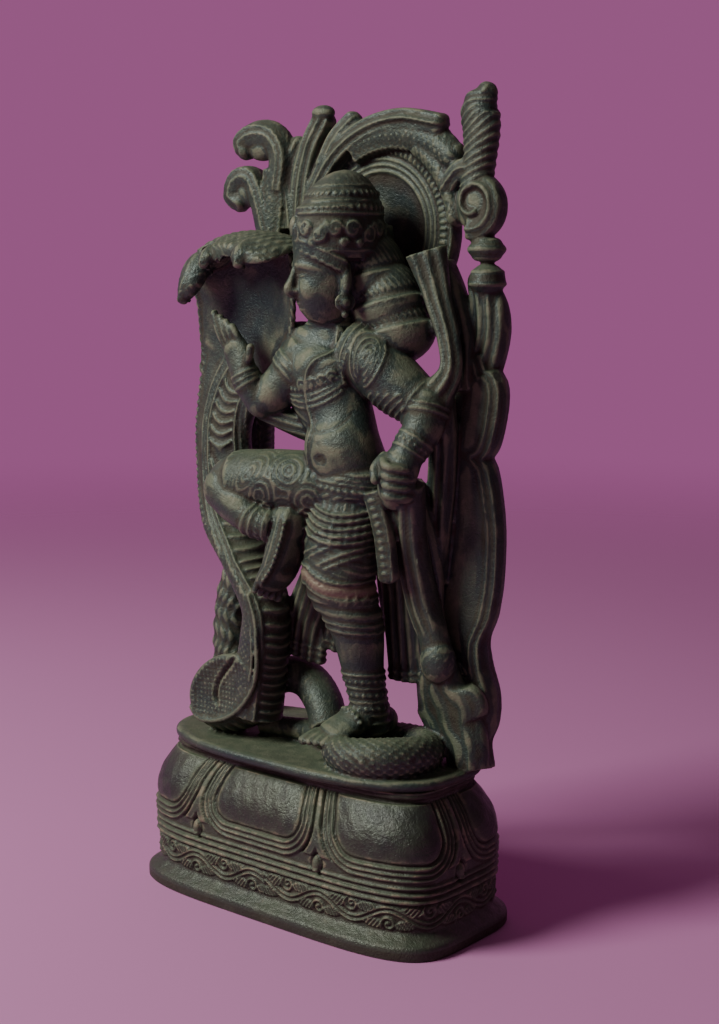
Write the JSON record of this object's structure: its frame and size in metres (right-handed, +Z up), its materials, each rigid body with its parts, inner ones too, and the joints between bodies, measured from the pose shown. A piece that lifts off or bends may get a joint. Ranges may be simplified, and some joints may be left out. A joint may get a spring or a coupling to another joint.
{
  "type": "cast bronze deity and serpent statuette",
  "caption": "Table statuette: a dancing deity holds a hooded serpent under an openwork arch, on an oval plate over a lotus-cushion plinth; stands on its flat underside.",
  "frame": {"origin": "middle of the flat underside of the plinth", "axes": "+Z up, the figure faces -Y, +X towards the viewer's right"},
  "size_m": [0.12, 0.0586, 0.2473],
  "materials": {
    "plinth_bronze": "dark brown patina, grey-green in the relief, worn golden at the lower rim",
    "figure_bronze": "dark brown-black patina with grey-green verdigris on raised carving"
  },
  "bodies": {
    "root": {"lotus_plinth": "plinth_bronze", "deity_serpent_and_arch": "figure_bronze"}
  },
  "joints": []
}
